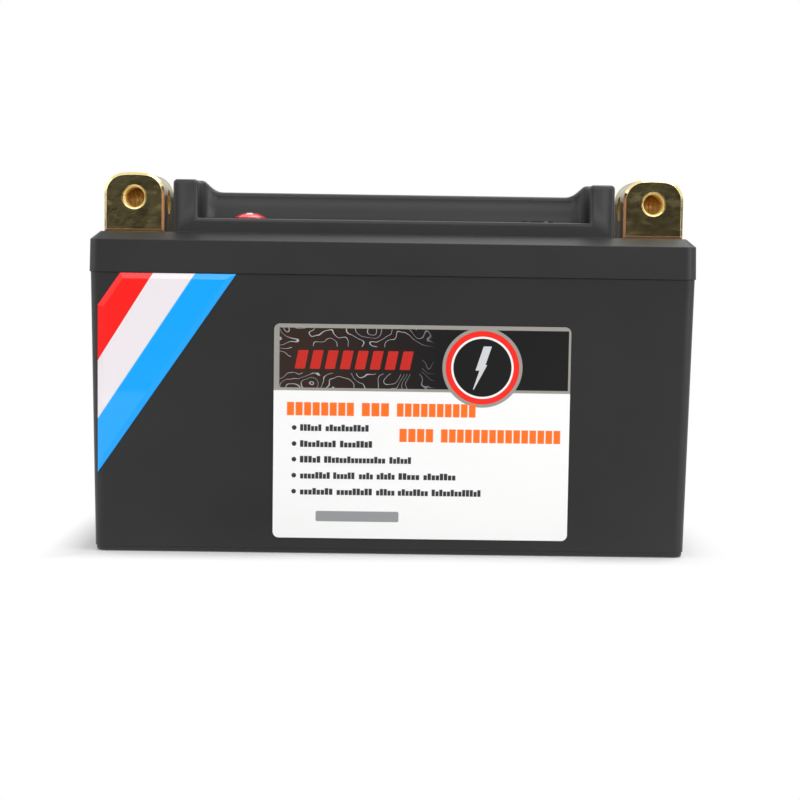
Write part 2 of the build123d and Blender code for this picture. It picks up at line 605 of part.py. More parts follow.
def make_upper_sheet():
    """Insulation over the upper links, with a slot where the middle sense lead is soldered."""
    half_length = HOLDER_HALF_LENGTH - SHEET_MARGIN
    sheet = block(-half_length, half_length, -HOLDER_HALF_DEPTH + SHEET_MARGIN,
                  HOLDER_HALF_DEPTH - SHEET_MARGIN, UPPER_SHEET_Z, PACK_TOP)
    x, y = middle_tap()
    slot_end = x + SENSE_END + 2 * SENSE_STEP
    return sheet - block(x - SENSE_STEP, slot_end, y - SENSE_DIAMETER, y + SENSE_DIAMETER,
                         UPPER_SHEET_Z, PACK_TOP)


# ---------------------------------------------------------------- protection board
def make_board():
    """Circuit board that stands on edge behind the negative end of the pack."""
    board = block(BOARD_X, BOARD_FACE_X, -BOARD_WIDTH / 2, BOARD_WIDTH / 2, BOARD_BOTTOM, BOARD_TOP)
    return fillet(board.edges().filter_by(Axis.X), 1.5)


def make_board_tape():
    """Two strips of foam tape from the board to the holders."""
    half = BOARD_WIDTH / 2 - 2
    return [block(TAPE_X, BOARD_X, -half, half, z, z + TAPE_HEIGHT)
            for z in (BOARD_BOTTOM, BOARD_TOP - TAPE_HEIGHT)]


def make_transistors():
    """Row of power transistors with their tabs soldered down."""
    pieces = []
    for i in range(TRANSISTOR_COUNT):
        y = (i - (TRANSISTOR_COUNT - 1) / 2) * TRANSISTOR_PITCH
        half = TRANSISTOR_WIDTH / 2
        body = block(BOARD_FACE_X, BOARD_FACE_X + TRANSISTOR_HEIGHT, y - half, y + half,
                     TRANSISTOR_Z - TRANSISTOR_LENGTH / 2, TRANSISTOR_Z + TRANSISTOR_LENGTH / 2)
        tab = block(BOARD_FACE_X, BOARD_FACE_X + TRANSISTOR_HEIGHT / 4, y - 0.8 * half, y + 0.8 * half,
                    TRANSISTOR_Z, TRANSISTOR_Z + TRANSISTOR_LENGTH / 2 + 1.2)
        pieces.append(body + tab)
    return pieces


def make_spreader():
    """Aluminium strip across the transistors."""
    x_low = BOARD_FACE_X + TRANSISTOR_HEIGHT
    half = TRANSISTOR_COUNT * TRANSISTOR_PITCH / 2
    return block(x_low, x_low + SPREADER_THICKNESS, -half, half,
                 TRANSISTOR_Z - SPREADER_HEIGHT / 2, TRANSISTOR_Z + SPREADER_HEIGHT / 2)


def make_chip():
    """The controller that watches the cell voltages."""
    half = CHIP_SIZE / 2
    return block(BOARD_FACE_X, BOARD_FACE_X + CHIP_HEIGHT, CHIP_Y - half, CHIP_Y + half,
                 CHIP_Z - half, CHIP_Z + half)


def make_shunts():
    """Current-sensing resistors."""
    return [block(BOARD_FACE_X, BOARD_FACE_X + SHUNT_HEIGHT,
                  (i - 1) * SHUNT_PITCH - SHUNT_WIDTH / 2, (i - 1) * SHUNT_PITCH + SHUNT_WIDTH / 2,
                  SHUNT_Z - SHUNT_LENGTH / 2, SHUNT_Z + SHUNT_LENGTH / 2)
            for i in range(SHUNT_COUNT)]


def make_socket():
    """Side-entry socket for the balance plug, open at its top."""
    shell = block(BOARD_FACE_X, BOARD_FACE_X + SOCKET_DEPTH,
                  SOCKET_Y - SOCKET_HALF_WIDTH, SOCKET_Y + SOCKET_HALF_WIDTH,
                  SOCKET_Z, SOCKET_Z + SOCKET_HEIGHT)
    hollow = block(BOARD_FACE_X + SOCKET_WALL, BOARD_FACE_X + SOCKET_DEPTH - SOCKET_WALL,
                   SOCKET_Y - SOCKET_HALF_WIDTH + SOCKET_WALL, SOCKET_Y + SOCKET_HALF_WIDTH - SOCKET_WALL,
                   PLUG_Z, SOCKET_Z + SOCKET_HEIGHT)
    return shell - hollow


def make_plug():
    """Balance plug, pushed down into the socket."""
    half = SOCKET_HALF_WIDTH - SOCKET_WALL - PLUG_FIT
    inset = SOCKET_WALL + PLUG_FIT
    return block(BOARD_FACE_X + inset, BOARD_FACE_X + SOCKET_DEPTH - inset,
                 SOCKET_Y - half, SOCKET_Y + half, PLUG_Z, PLUG_TOP)


def middle_tap():
    """Where the sense lead of the middle link is soldered."""
    return COLUMN_X[-1] - PITCH - LINK_MARGIN, SOCKET_Y


def pin_y(number):
    """Place of a pin of the balance plug, numbered from 1."""
    return SOCKET_Y + (number - 3) * PIN_PITCH


def balance_route(number):
    """Route of a sense lead, from the plug to its own tap of the pack."""
    y = pin_y(number)
    start = (SENSE_X, y, PLUG_TOP)
    over_start = (SENSE_X, y, SENSE_TOP_Z)
    side_y = inner_half_depth(FLOOR) - SENSE_SIDE_GAP
    tab_z = HOLDER_Z + SENSE_DIAMETER / 2 + SENSE_FIT
    if number == 1:     # negative link, on its folded tab
        tab_x = NEGATIVE_TAB_X + LINK_THICKNESS + SENSE_DIAMETER / 2 + SENSE_FIT
        rise = PLUG_TOP + SENSE_RISE
        return [start, (SENSE_X, y, rise), (tab_x, y, rise + SENSE_END),
                (tab_x, y, rise + 2 * SENSE_END)]
    if number == 2:     # positive link, on the flat of its tab past the sheet
        edge = -HOLDER_HALF_LENGTH + SHEET_MARGIN - SENSE_FIT
        return [start, over_start, (-COLUMN_X[-1] + SENSE_END, y, SENSE_TOP_Z),
                (edge + SENSE_END, LEAD_Y, SENSE_TOP_Z), (edge, LEAD_Y, SENSE_TOP_Z),
                (edge - SENSE_STEP, LEAD_Y, SENSE_LINK_Z),
                (-POSITIVE_TAB_X, LEAD_Y, SENSE_LINK_Z)]
    if number == 3:     # middle link, through the sheet's slot
        x = middle_tap()[0]
        return [start, over_start, (x + SENSE_END + SENSE_STEP, y, SENSE_TOP_Z),
                (x + SENSE_END, y, SENSE_LINK_Z), (x, y, SENSE_LINK_Z)]
    if number == 4:     # left lower link, down the far end of the case
        return [start, over_start, (-COLUMN_X[-1], y, SENSE_TOP_Z),
                (-SENSE_X, side_y, SENSE_TOP_Z), (-SENSE_X, side_y, tab_z),
                (-SENSE_X, SENSE_TAB_Y, tab_z)]
    rise = PLUG_TOP + SENSE_RISE    # right lower link, over and down beside the board
    return [start, (SENSE_X, y, rise), (SENSE_X, side_y, rise), (SENSE_X, side_y, tab_z),
            (SENSE_X, SENSE_TAB_Y, tab_z)]


# ---------------------------------------------------------------- foam
def make_left_end_pad():
    """Foam block between the pack's positive end and the case's end wall."""
    return block(-inner_half_length(LOWER_LINK_Z), -HOLDER_HALF_LENGTH, -END_PAD_WIDTH / 2,
                 END_PAD_WIDTH / 2, LOWER_LINK_Z, LEAD_END_Z - PAD_GAP)


def make_right_end_pad():
    """Foam block between the heat spreader and the case's end wall."""
    x_low = BOARD_FACE_X + TRANSISTOR_HEIGHT + SPREADER_THICKNESS
    z_high = min(SOCKET_Z, LEAD_END_Z) - PAD_GAP
    return block(x_low, inner_half_length(BOARD_PAD_Z), -END_PAD_WIDTH / 2, END_PAD_WIDTH / 2,
                 BOARD_PAD_Z, z_high)


def make_top_pads():
    """Foam strips under the ledge and under the plateau, which hold the pack down."""
    front = -HOLDER_HALF_DEPTH + SHEET_MARGIN
    rear = HOLDER_HALF_DEPTH - SHEET_MARGIN
    half = TOP_PAD_LENGTH / 2
    return (block(-half, half, front, front + TOP_PAD_WIDTH, PACK_TOP, LEDGE_Z - LID_WALL),
            block(-half, half, rear - TOP_PAD_WIDTH / 2, rear, PACK_TOP,
                  LID_TOP + PLATEAU_HEIGHT - LID_WALL))


# ---------------------------------------------------------------- stickers and markers
def front_plane(offset=0.0):
    """Plane of the case's drafted front, with X to the right and Y up the face."""
    foot = (0, -CASE_HALF_DEPTH + lean(SEAM_Z), 0)
    return Plane(foot, x_dir=(1, 0, 0), z_dir=(0, -1, -tan(radians(DRAFT)))).offset(offset)


def film(outline, thickness):
    """Film of even thickness that follows the case's front, cut to an outline on it."""
    cutter = extrude(front_plane(-CASE_CORNER) * outline, CASE_CORNER + thickness)
    return (case_outside(thickness) - case_outside()) & cutter


def make_label():
    """White film label with rounded corners."""
    centre = Pos(LABEL_CENTRE_X, LABEL_BOTTOM + LABEL_HEIGHT / 2)
    return film(centre * RectangleRounded(LABEL_LENGTH, LABEL_HEIGHT, LABEL_CORNER), LABEL_THICKNESS)


def make_sticker():
    """Domed corner sticker, cut along its diagonal stripes, with a sloping rim."""
    x = -CASE_HALF_LENGTH + STICKER_END_INSET
    z = SEAM_Z - STICKER_TOP_GAP
    fall = tan(radians(STRIPE_ANGLE))
    outline = make_face(Polyline((x + STICKER_START, z), (x + STICKER_END, z),
                                 (x, z - STICKER_END * fall), (x, z - STICKER_START * fall), close=True))
    rise = STICKER_THICKNESS - STICKER_RIM
    slope = degrees(atan(STICKER_SLOPE / rise))
    crown = extrude(front_plane(STICKER_RIM) * outline, rise, taper=slope)
    edge = extrude(front_plane(-CASE_CORNER) * outline, CASE_CORNER + STICKER_RIM)
    return (case_outside(STICKER_THICKNESS) - case_outside()) & (edge + crown)


def make_marker(side, height):
    """Domed marker on the ledge: a lens cast on a thin round base."""
    radius = MARKER_DIAMETER / 2
    rise = height - MARKER_RIM
    bulge = (radius ** 2 + rise ** 2) / (2 * rise)
    half = radius / 2
    shoulder = height - bulge + (bulge ** 2 - half ** 2) ** 0.5
    dome = ThreePointArc((radius, MARKER_RIM), (half, shoulder), (0, height))
    outline = make_face([dome, Line((0, height), (0, 0)), Line((0, 0), (radius, 0)),
                         Line((radius, 0), (radius, MARKER_RIM))])
    lens = revolve(Plane.XZ * outline, Axis.Z)
    return Pos(side * MARKER_X, -BLOCK_HALF_DEPTH + MARKER_BACK, LEDGE_Z) * lens


# ---------------------------------------------------------------- all sub-parts
def make_all():
    """Every node by name."""
    top_pad_front, top_pad_rear = make_top_pads()
    parts = {
        "case": make_case(),
        "lid": make_lid(),
        "positive_terminal": make_terminal(-1),
        "negative_terminal": make_terminal(1),
        "positive_gasket": make_gasket(-1),
        "negative_gasket": make_gasket(1),
        "terminal_screws": both_ends(make_screw()),
        "terminal_washers": both_ends(make_washer()),
        "positive_lug": make_lug(-1),
        "negative_lug": make_lug(1),
        "positive_lead": make_main_lead(-1, POSITIVE_TAB_X + LINK_THICKNESS),
        "negative_lead": make_main_lead(1, BOARD_FACE_X),
        "lower_cell_holder": Pos(0, 0, HOLDER_Z) * holder(),
        "upper_cell_holder": Pos(0, 0, HOLDER_TOP) * Rot(180, 0, 0) * holder(),
        "positive_busbar": make_pole_link(-1, POSITIVE_TAB_X, LEAD_Y),
        "negative_busbar": make_pole_link(1, NEGATIVE_TAB_X, -LEAD_Y),
        "top_link_busbar": make_upper_link(1, CELL_COLUMNS - 2),
        "lower_link_left": make_lower_link(-1),
        "lower_link_right": make_lower_link(1),
        "base_pad": floor_sheet(FLOOR, BASE_PAD_THICKNESS),
        "lower_insulation_sheet": floor_sheet(LOWER_SHEET_Z, SHEET_THICKNESS),
        "upper_insulation_sheet": make_upper_sheet(),
        "left_end_pad": make_left_end_pad(),
        "right_end_pad": make_right_end_pad(),
        "top_pad_front": top_pad_front,
        "top_pad_rear": top_pad_rear,
        "circuit_board": make_board(),
        "board_tape": make_board_tape(),
        "power_transistors": make_transistors(),
        "heat_spreader": make_spreader(),
        "control_chip": make_chip(),
        "shunt_resistors": make_shunts(),
        "balance_socket": make_socket(),
        "balance_plug": make_plug(),
        "front_label": make_label(),
        "corner_sticker": make_sticker(),
        "plus_marker": make_marker(-1, PLUS_MARKER_HEIGHT),
        "minus_marker": make_marker(1, MINUS_MARKER_HEIGHT),
    }
    for column in range(CELL_COLUMNS):
        for row in range(CELL_ROWS):
            parts[f"cell_{column * CELL_ROWS + row + 1}"] = make_cell(column, row)
    for number in range(1, 6):
        parts[f"balance_lead_{number}"] = lead(balance_route(number), SENSE_DIAMETER, SENSE_BEND)
    return parts


def main():
    """Write one STEP file for each node."""
    os.makedirs("parts", exist_ok=True)
    for name, shape in make_all().items():
        solids = shape if isinstance(shape, list) else [shape]
        node = Compound(children=[solid for piece in solids for solid in piece.solids()])
        export_step(node, f"parts/{name}.step")


main()
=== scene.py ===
"""A small sealed motorcycle battery: finishes, print, screw threads and a plain studio."""

import json
from math import pi, radians

import bmesh
import bpy
from mathutils import Matrix, Vector


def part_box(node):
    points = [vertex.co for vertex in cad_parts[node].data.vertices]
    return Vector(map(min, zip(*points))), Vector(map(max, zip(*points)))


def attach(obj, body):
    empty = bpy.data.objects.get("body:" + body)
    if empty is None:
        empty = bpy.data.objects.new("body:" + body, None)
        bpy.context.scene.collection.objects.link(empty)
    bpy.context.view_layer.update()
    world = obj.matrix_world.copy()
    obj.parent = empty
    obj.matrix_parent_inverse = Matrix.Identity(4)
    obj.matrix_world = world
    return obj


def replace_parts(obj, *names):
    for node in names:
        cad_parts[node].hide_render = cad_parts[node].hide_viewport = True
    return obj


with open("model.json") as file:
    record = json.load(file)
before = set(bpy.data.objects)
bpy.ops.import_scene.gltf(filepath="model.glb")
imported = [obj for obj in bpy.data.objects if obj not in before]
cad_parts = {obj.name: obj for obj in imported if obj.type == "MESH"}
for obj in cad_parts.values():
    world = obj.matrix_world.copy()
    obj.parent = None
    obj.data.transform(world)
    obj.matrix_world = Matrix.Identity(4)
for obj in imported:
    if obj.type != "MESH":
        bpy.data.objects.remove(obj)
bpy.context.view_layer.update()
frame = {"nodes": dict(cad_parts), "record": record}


# Case. A box injection moulded in charcoal polypropylene, with a slight draft. The mould is
# finely spark-eroded, which leaves an even satin grain, a little paler in clouds.
MM = 0.001    # a millimetre; materials measure in millimetres, meshes in metres


class Value:
    """One value in a material, so that sums on it can be written as sums."""

    def __init__(self, finish, socket):
        self.finish = finish
        self.socket = socket

    def math(self, operation, *others):
        return self.finish.node("Math", (self, *others), operation=operation)

    def __add__(self, other):
        return self.math("ADD", other)

    def __sub__(self, other):
        return self.math("SUBTRACT", other)

    def __rsub__(self, other):
        return self.finish.node("Math", (other, self), operation="SUBTRACT")

    def __mul__(self, other):
        return self.math("MULTIPLY", other)

    def __abs__(self):
        return self.math("ABSOLUTE")

    __radd__ = __add__
    __rmul__ = __mul__

    def above(self, edge, soft=0.04):
        """1 where the value is over the edge, 0 where it is under, with a short fade."""
        return self.finish.node("MapRange", {"Value": self, "From Min": edge - soft,
                                             "From Max": edge + soft})

    def below(self, edge, soft=0.04):
        return 1 - self.above(edge, soft)

    def most(self, other):
        return self.math("MAXIMUM", other)


class Finish:
    """A material built round a Principled shader."""

    def __init__(self, name, **values):
        self.material = bpy.data.materials.new(name)
        self.material.use_nodes = True
        self.nodes = self.material.node_tree.nodes
        self.links = self.material.node_tree.links
        self.shader = self.nodes["Principled BSDF"]
        self.wear(**values)
        object_place = self.node("TexCoord", output="Object")
        self.place = self.node("VectorMath", {0: object_place, "Scale": 1 / MM},
                               operation="SCALE")
        self.x, self.y, self.z = self.split(self.place)

    def set(self, made, values):
        for key, value in values.items():
            socket = made.inputs[key]
            if isinstance(value, Value):
                self.links.new(value.socket, socket)
            elif socket.type == "RGBA":
                socket.default_value = (*value, 1.0)[:4]
            else:
                socket.default_value = value

    def node(self, kind, values=(), output=0, **settings):
        """A node of a kind, with its settings, its values or links, and one output."""
        made = self.nodes.new("ShaderNode" + kind)
        for key, value in settings.items():
            setattr(made, key, value)
        self.set(made, dict(values) if isinstance(values, dict) else dict(enumerate(values)))
        return Value(self, made.outputs[output])

    def split(self, vector):
        return [self.node("SeparateXYZ", (vector,), output=i) for i in range(3)]

    def facing(self, axis):
        """How far the surface faces along an axis, from 0 to 1."""
        normal = self.node("TexCoord", output="Normal")
        return abs(self.node("SeparateXYZ", (normal,), output=axis))

    def stretched(self, *factors):
        return self.node("VectorMath", (self.place, factors), operation="MULTIPLY")

    def noise(self, size, detail=3.0, roughness=0.5, place=None):
        """Noise with features of about a size in millimetres."""
        return self.node("TexNoise", {"Vector": place or self.place, "Scale": 1.0 / size,
                                      "Detail": detail, "Roughness": roughness})

    def paint(self, under, over, mask):
        """One colour over another where the mask is 1."""
        return self.node("Mix", {0: mask, 6: under, 7: over}, output=2, data_type="RGBA")

    def wear(self, **values):
        self.set(self.shader, {key.replace("_", " "): value for key, value in values.items()})

    def bump(self, height, distance, rounding=0.0):
        """Relief of a depth in millimetres, on edges softened by a radius in millimetres."""
        values = {"Height": height, "Distance": distance * MM}
        if rounding:
            values["Normal"] = self.node("Bevel", {"Radius": rounding * MM}, samples=8)
        self.wear(Normal=self.node("Bump", values))

    def apply(self, *names):
        for name in names:
            slots = frame["nodes"][name].data.materials
            slots.clear()
            slots.append(self.material)


CHARCOAL = (0.0150, 0.0150, 0.0155)
CHARCOAL_WORN = (0.0180, 0.0180, 0.0185)
BLOCK_ENDS = (54.0, 56.0)     # the raised block's end walls stand between these, from the middle

moulded = Finish("charcoal plastic", Specular_IOR_Level=0.5)
grain = moulded.noise(size=0.35, detail=2.0)
clouds = moulded.noise(size=28.0, detail=2.0).above(0.5, soft=0.15)
from_middle = abs(moulded.x)
rough_ends = (moulded.facing(axis=0).above(0.9)
              * from_middle.above(BLOCK_ENDS[0]) * from_middle.below(BLOCK_ENDS[1]))
moulded.wear(Base_Color=moulded.paint(CHARCOAL, CHARCOAL_WORN, clouds),
             Roughness=0.36 + 0.08 * grain + 0.5 * rough_ends)
moulded.bump(grain, distance=0.010, rounding=0.25)
moulded.apply("case")


# Cells and everything sealed in with them: sleeved cans in two black holders, joined by welded
# copper strips, with foam round them, a protection board at one end and leads to the terminals.
def simple(name, nodes, colour, size=4.0, relief=0.02, **values):
    """A finish with a darker second shade and some relief, for pieces inside the case."""
    finish = Finish(name, **values)
    cloud = finish.noise(size)
    darker = [0.8 * part for part in colour]
    finish.wear(Base_Color=finish.paint(colour, darker, cloud.above(0.5, soft=0.12)))
    finish.bump(cloud, relief)
    finish.apply(*nodes)


names = list(frame["nodes"])
cells = [name for name in names if name.startswith("cell_")]
sense_leads = [name for name in names if name.startswith("balance_lead_")]
strips = [name for name in names if "busbar" in name or "link_" in name or "_lug" in name]
foams = [name for name in names if "pad" in name or name == "board_tape"]

simple("cell sleeve", cells, (0.03, 0.12, 0.42), Roughness=0.3)
simple("holder plastic", ["lower_cell_holder", "upper_cell_holder"], (0.02, 0.02, 0.02),
       Roughness=0.55)
simple("rolled copper", strips, (0.82, 0.38, 0.22), Roughness=0.28, Metallic=1.0)
simple("foam", foams, (0.05, 0.05, 0.05), size=0.6, relief=0.2, Roughness=0.95)
simple("fibre sheet", ["lower_insulation_sheet", "upper_insulation_sheet"],
       (0.62, 0.58, 0.40), size=1.5, Roughness=0.5)
simple("board", ["circuit_board"], (0.01, 0.11, 0.05), Roughness=0.3)
simple("resin parts", ["power_transistors", "control_chip", "shunt_resistors"],
       (0.015, 0.015, 0.016), Roughness=0.5)
simple("plain aluminium", ["heat_spreader"], (0.8, 0.8, 0.81), Roughness=0.3, Metallic=1.0)
simple("nylon", ["balance_socket", "balance_plug"], (0.75, 0.72, 0.62), Roughness=0.45)
simple("sense lead", sense_leads, (0.3, 0.02, 0.02), Roughness=0.45)
simple("red lead", ["positive_lead"], (0.55, 0.015, 0.015), Roughness=0.45)
simple("black lead", ["negative_lead"], (0.015, 0.015, 0.015), Roughness=0.45)
simple("zinc steel", ["terminal_screws", "terminal_washers"], (0.62, 0.63, 0.65),
       Roughness=0.3, Metallic=1.0)
simple("gasket rubber", ["positive_gasket", "negative_gasket"], (0.02, 0.02, 0.02),
       Roughness=0.7)


# Lid. A cover in the case's plastic, welded on along the seam. Its two towers are short and
# slope down behind. The solid lid's right tower runs on to the back, so a lid made of its left
# half and that half's mirror image takes its place.
SHARP_EDGE = 35              # degrees
FLATNESS = 0.3               # degrees
LARGEST_ROUNDED_STRIP = 60 * MM ** 2


def as_piece(name, shape, finish):
    """A mesh made into a piece of the part, with its sharp edges left sharp."""
    mesh = bpy.data.meshes.new(name)
    shape.to_mesh(mesh)
    shape.free()
    mesh.set_sharp_from_angle(angle=radians(SHARP_EDGE))
    mesh.materials.append(finish.material)
    piece = bpy.data.objects.new(name, mesh)
    bpy.context.scene.collection.objects.link(piece)
    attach(piece, "root")
    return piece


moulded.apply("lid")
half = bmesh.new()
half.from_mesh(frame["nodes"]["lid"].data)
bmesh.ops.remove_doubles(half, verts=half.verts, dist=1e-6)
bmesh.ops.bisect_plane(half, geom=half.verts[:] + half.edges[:] + half.faces[:], dist=1e-7,
                       plane_co=(0, 0, 0), plane_no=(1, 0, 0), clear_outer=True)
bmesh.ops.mirror(half, geom=half.verts[:] + half.edges[:] + half.faces[:], merge_dist=1e-6,
                 axis="X")
bmesh.ops.recalc_face_normals(half, faces=half.faces)
bmesh.ops.dissolve_limit(half, verts=half.verts, edges=half.edges,
                         angle_limit=radians(FLATNESS))
for face in half.faces:
    face.smooth = face.calc_area() < LARGEST_ROUNDED_STRIP
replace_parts(as_piece("moulded_lid", half, moulded), "lid")


# Terminals. Each is a block of brass, tumbled and flash plated with a thin gold colour, so its
# faces mirror the room with a slight ripple. The plating is thin on the lower and inner bevels,
# where copper shows. The holes are tapped after plating.
PLATING = (0.92, 0.76, 0.36)
COPPER = (0.90, 0.42, 0.20)
CUT_BRASS = (1.0, 0.66, 0.16)
INNER_BEVEL_X = 60.0     # the inner bevels lie nearer the middle than this,
SHOULDER_Z = 89.5        # and are worn up to this height
LOWER_BEVEL_Z = 80.15
CUT_EDGE = 0.1           # cut brass shows this far outside a hole's wall
MOUTH_LIP = 0.08         # and plating this far inside its mouth

mounts = {mount["name"]: mount for mount in frame["record"]["mounts"]}
plated = Finish("gold plating")


def inside(mount, deeper=0.0):
    """Mask of what lies inside a tapped hole, in both terminals alike."""
    middle = Vector(mount["pos_m"]) / MM
    offsets = [abs(plated.x) - abs(middle.x), plated.y - middle.y, plated.z - middle.z]
    along = offsets.pop(0 if mount["axis"][0] else 1)
    from_axis = (offsets[0] * offsets[0] + offsets[1] * offsets[1]).math("SQRT")
    half_length = mount["dims"]["length_mm"] / 2
    return (from_axis.below(mount["dims"]["r_mm"] + CUT_EDGE, soft=0.03)
            * abs(along - deeper).below(half_length + deeper - MOUTH_LIP, soft=0.03))


ripple = plated.noise(size=6.0, detail=2.0)
speck = plated.noise(size=0.5, detail=4.0, roughness=0.65)
cloudy = plated.noise(size=7.0, detail=5.0, roughness=0.6,
                      place=plated.stretched(1.0, 1.0, 2.5)).above(0.54, soft=0.06)
hole = inside(mounts["positive_front_thread"], deeper=1.0)
hole = hole.most(inside(mounts["positive_cross_thread"]))
forward = plated.facing(axis=1)
bevel = forward.above(0.3, soft=0.1) * forward.below(0.93, soft=0.03)
inner = abs(plated.x).below(INNER_BEVEL_X) * plated.z.below(SHOULDER_Z, soft=0.8)
worn = bevel * inner.most(plated.z.below(LOWER_BEVEL_Z))
plated.wear(Base_Color=plated.paint(plated.paint(PLATING, COPPER, worn), CUT_BRASS, hole),
            Metallic=1 - 0.6 * worn - 0.9 * hole,
            Roughness=0.02 + 0.06 * speck + 0.12 * cloudy + 0.10 * hole)
plated.bump(ripple + 0.10 * speck, distance=0.15, rounding=0.12)
plated.apply("positive_terminal", "negative_terminal")

cut_brass = Finish("cut brass", Metallic=0.1, Roughness=0.3)
swarf = cut_brass.noise(size=0.3, detail=2.0).above(0.55, soft=0.1)
cut_brass.wear(Base_Color=cut_brass.paint(CUT_BRASS, PLATING, swarf))

THREAD_PITCH = 1.0
THREAD_DEPTH = 0.5
THREAD_FLANK = 0.35      # along the hole, from a thread's root to its crest
THREAD_FLAT = 0.18       # along the hole, over the crest
THREAD_STEPS = 40        # for each turn
THREAD_ROOT = 0.02       # how far threads and rims are let into the wall
RIM_WIDTH = 0.25
RIM_DEPTH = 0.8


def turned(name, finish, outline, mouth, direction, rise=0.0, turns=1.0):
    """A closed profile of radius and depth, spun about a hole's axis and set in its mouth."""
    shape = bmesh.new()
    corners = [shape.verts.new((radius, 0, depth)) for radius, depth in outline]
    section = shape.faces.new(corners)
    ring = not rise
    bmesh.ops.spin(shape, geom=corners + section.edges[:] + ([] if ring else [section]),
                   cent=(0, 0, 0), axis=(0, 0, 1), dvec=(0, 0, rise / THREAD_STEPS),
                   angle=2 * pi * turns, steps=int(THREAD_STEPS * turns),
                   use_merge=ring, use_duplicate=False)
    if ring:
        bmesh.ops.delete(shape, geom=[section], context="FACES_ONLY")
    upright = Vector((0, 0, 1)).rotation_difference(Vector(direction)).to_matrix().to_4x4()
    bmesh.ops.transform(shape, verts=shape.verts,
                        matrix=Matrix.Translation(mouth) @ upright @ Matrix.Scale(MM, 4))
    bmesh.ops.recalc_face_normals(shape, faces=shape.faces)
    for face in shape.faces:
        face.smooth = True
    as_piece(name, shape, finish)


for side in ("positive", "negative"):
    for hole_name in ("front", "cross"):
        mount = mounts[f"{side}_{hole_name}_thread"]
        length, radius = mount["dims"]["length_mm"], mount["dims"]["r_mm"]
        out = Vector(mount["axis"])
        mouth = Vector(mount["pos_m"]) + out * length * MM / 2
        root, crest = radius + THREAD_ROOT, radius - THREAD_DEPTH
        thread = ((root, 0.0), (crest, THREAD_FLANK), (crest, THREAD_FLANK + THREAD_FLAT),
                  (root, 2 * THREAD_FLANK + THREAD_FLAT))
        rim = ((root, 0.01), (radius - RIM_WIDTH, 0.05), (crest, THREAD_FLANK),
               (radius, RIM_DEPTH))
        turned(f"{side}_{hole_name}_thread", cut_brass, thread, mouth, -out,
               rise=THREAD_PITCH, turns=length / THREAD_PITCH - 1)
        turned(f"{side}_{hole_name}_rim", plated, rim, mouth, -out)


# Pole markers. Red with a white plus sign and black with a white minus sign, printed and
# covered with a lens of clear resin. They are stuck on the ledge of the lid.
WHITE = (0.90, 0.90, 0.895)
MARKER_RED = (0.75, 0.015, 0.03)
MARKER_BLACK = (0.012, 0.012, 0.013)
SIGN_REACH = 2.5         # from its middle to its end
SIGN_HALF_WIDTH = 0.75


def marker(node, name, shade, upright):
    low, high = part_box(node)
    middle = (low + high) / 2 / MM
    finish = Finish(name, Roughness=0.3, Coat_Weight=1.0, Coat_Roughness=0.04)
    sideways, along = abs(finish.x - middle.x), abs(finish.y - middle.y)
    sign = sideways.below(SIGN_REACH) * along.below(SIGN_HALF_WIDTH)
    if upright:
        sign = sign.most(along.below(SIGN_REACH) * sideways.below(SIGN_HALF_WIDTH))
    finish.wear(Base_Color=finish.paint(shade, WHITE, sign))
    finish.apply(node)


marker("plus_marker", "red marker", MARKER_RED, upright=True)
marker("minus_marker", "black marker", MARKER_BLACK, upright=False)


# Front label. A white polyester film, screen printed and cut with rounded corners. A dark
# band with a grey border runs across the top. Blocks in orange and black stand for its text.
INK_BLACK = (0.010, 0.009, 0.010)
INK_BROWN = (0.034, 0.018, 0.013)
INK_GREY = (0.32, 0.305, 0.275)
INK_ORANGE = (1.0, 0.17, 0.012)
INK_RED = (0.90, 0.022, 0.012)
INK_DEEP_RED = (0.56, 0.022, 0.014)
INK_PALE = (0.62, 0.63, 0.65)
INK_DARK = (0.035, 0.035, 0.037)
INK_STEEL = (0.30, 0.305, 0.315)

label = Finish("label film", Roughness=0.30, Specular_IOR_Level=0.4)
label_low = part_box("front_label")[0]
across = label.x - label_low.x / MM     # from the label's left edge
up = label.z - label_low.z / MM         # from its lower edge


def panel(left, right, low, high, corner=0.2, lean=0.0):
    """Mask of a rounded panel on the label; lean slants its sides."""
    height = up - (low + high) / 2
    width = across - (left + right) / 2 - lean * height
    beside = (abs(width) - ((right - left) / 2 - corner)).most(0.0)
    over = (abs(height) - ((high - low) / 2 - corner)).most(0.0)
    return (beside * beside + over * over).math("SQRT").below(corner, soft=0.05)


def disc(centre, height, radius):
    beside, over = across - centre, up - height
    return (beside * beside + over * over).math("SQRT").below(radius, soft=0.05)


def together(masks):
    total = masks[0]
    for mask in masks[1:]:
        total = total.most(mask)
    return total


def text_row(words, low, height, pitch, low_letter=1.0):
    """Words as rows of blocks, one for each letter; most letters have the low share."""
    rows = []
    for left, right in words:
        letters = round((right - left) / pitch)
        letter = (across - left) * (letters / (right - left))
        seed = letter.math("FLOOR") + left * 3.1 + low * 7.3
        chance = label.node("TexWhiteNoise", {"W": seed}, noise_dimensions="1D")
        top = low + height * (low_letter + (1 - low_letter) * chance.above(0.62))
        rows.append(letter.above(0.0) * letter.below(letters) * (top - up).above(0.0, soft=0.05)
                    * abs(letter.math("FRACT") - 0.5).below(0.42, soft=0.05))
    return together(rows) * up.above(low, soft=0.05)


# the dark band, with its grey border above and below it
BAND_LOW, BAND_HIGH = 37.5, 52.3
BORDER_LOW = 36.8
BAND_LEFT, BAND_RIGHT = 1.35, 72.75
band = panel(BAND_LEFT, BAND_RIGHT, BAND_LOW, BAND_HIGH, corner=0.15)
band_ink = label.paint(INK_BLACK, INK_BROWN, across.below(24.0, soft=16.0))
print_colour = label.paint(WHITE, INK_GREY, up.above(BORDER_LOW))
print_colour = label.paint(print_colour, band_ink, band)

